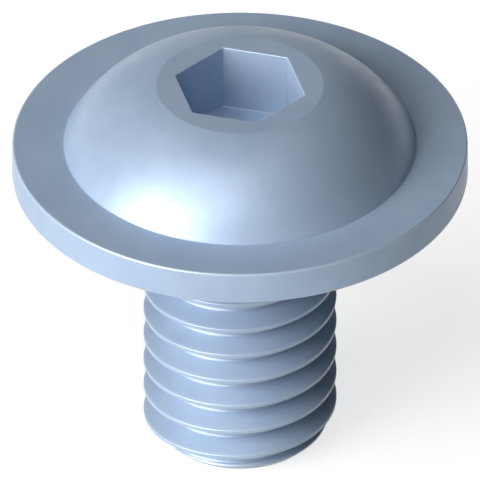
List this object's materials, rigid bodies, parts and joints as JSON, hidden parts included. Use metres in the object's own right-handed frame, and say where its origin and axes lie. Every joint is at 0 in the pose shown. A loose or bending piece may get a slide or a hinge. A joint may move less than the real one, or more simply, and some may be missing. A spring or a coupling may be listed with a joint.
{
  "type": "mushroom head screw",
  "caption": "Screw with a low domed head on a wide flat collar, a hexagon socket in its flat crown, and a short straight shank with a chamfered tip.",
  "frame": {"origin": "centre of the bearing face under the collar, on the screw's axis; the tip stands at z = -0.008", "axes": "+Z along the axis towards the head; the socket's corners lie on +Y and -Y, and its flats face +X and -X"},
  "size_m": [0.0118, 0.0118, 0.0107],
  "materials": {
    "zinc_plated_steel": "satin, bluish passivated zinc plating"
  },
  "bodies": {
    "root": {"mushroom_head_screw": "zinc_plated_steel"}
  },
  "joints": []
}
